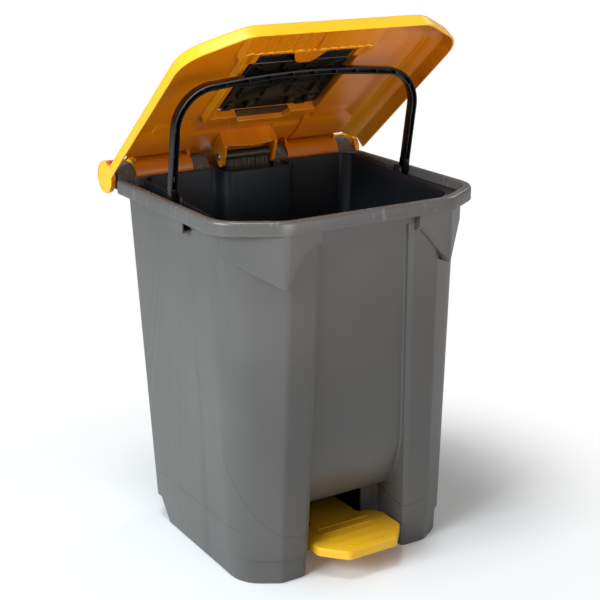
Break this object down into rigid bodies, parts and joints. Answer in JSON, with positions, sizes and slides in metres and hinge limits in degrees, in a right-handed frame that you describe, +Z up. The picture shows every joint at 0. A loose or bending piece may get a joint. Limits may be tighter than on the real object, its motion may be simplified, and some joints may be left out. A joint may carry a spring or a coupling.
{
  "type": "pedal bin",
  "caption": "Upright pedal bin with an overhanging hinged lid, a lift-out liner with a fold-down bail, a lid hatch and a foot pedal in a front channel.",
  "frame": {"origin": "centre of the footprint at rest, on the floor", "axes": "+Z up, pedal towards -Y, hinge towards +Y, +X to the right of a user facing the pedal from the front"},
  "size_m": [0.44, 0.411, 0.766],
  "materials": {
    "body_plastic": "satin moulded",
    "liner_plastic": "fine grained",
    "bail_plastic": "gloss",
    "lid_plastic": "semi-gloss",
    "hatch_plastic": "satin",
    "pedal_plastic": "semi-gloss",
    "lever_plastic": "satin",
    "pin_steel": "bright zinc"
  },
  "bodies": {
    "bin": {"outer_body": "body_plastic", "inner_liner": "liner_plastic", "hinge_pin_left": "pin_steel", "hinge_pin_right": "pin_steel", "pedal_axle": "pin_steel", "axle_saddle_left": "body_plastic", "axle_saddle_right": "body_plastic", "saddle_screws": "pin_steel"},
    "lid": {"lid": "lid_plastic", "hatch_pin": "pin_steel", "hinge_cap_left": "lid_plastic", "hinge_cap_right": "lid_plastic", "rod_upper_pin": "pin_steel"},
    "hatch": {"lid_hatch": "hatch_plastic"},
    "rod": {"push_rod": "hatch_plastic", "rod_lower_pin": "pin_steel"},
    "pedal": {"pedal": "pedal_plastic", "pedal_lever": "lever_plastic", "pedal_screws": "pin_steel"},
    "bail": {"bail_handle": "bail_plastic"}
  },
  "joints": [
    {"name": "lid_hinge", "type": "hinge", "parent": "bin", "child": "lid", "pos_m": [0, 0.1815, 0.527], "axis": [-1, 0, 0], "range_deg": [-39, 29]},
    {"name": "rod_swing", "type": "hinge", "parent": "lid", "child": "rod", "pos_m": [0, 0.14551, 0.54503], "axis": [-1, 0, 0], "range_deg": [-29, 39]},
    {"name": "pedal_tilt", "type": "hinge", "parent": "bin", "child": "pedal", "pos_m": [0, -0.0305, 0.042], "axis": [1, 0, 0], "range_deg": [-10, 8]},
    {"name": "bail_fold", "type": "hinge", "parent": "bin", "child": "bail", "pos_m": [0, 0.0085, 0.525], "axis": [-1, 0, 0], "range_deg": [-80, 60]},
    {"name": "hatch_hinge", "type": "hinge", "parent": "lid", "child": "hatch", "pos_m": [0, 0.09373, 0.62513], "axis": [-1, 0, 0], "range_deg": [0, 95]}
  ],
  "couplings": [
    {"joint": "rod_swing", "follows": "lid_hinge", "ratio": -0.97},
    {"joint": "pedal_tilt", "follows": "lid_hinge", "ratio": 0.24},
    {"joint": "bail_fold", "follows": "lid_hinge", "ratio": 2.05}
  ]
}
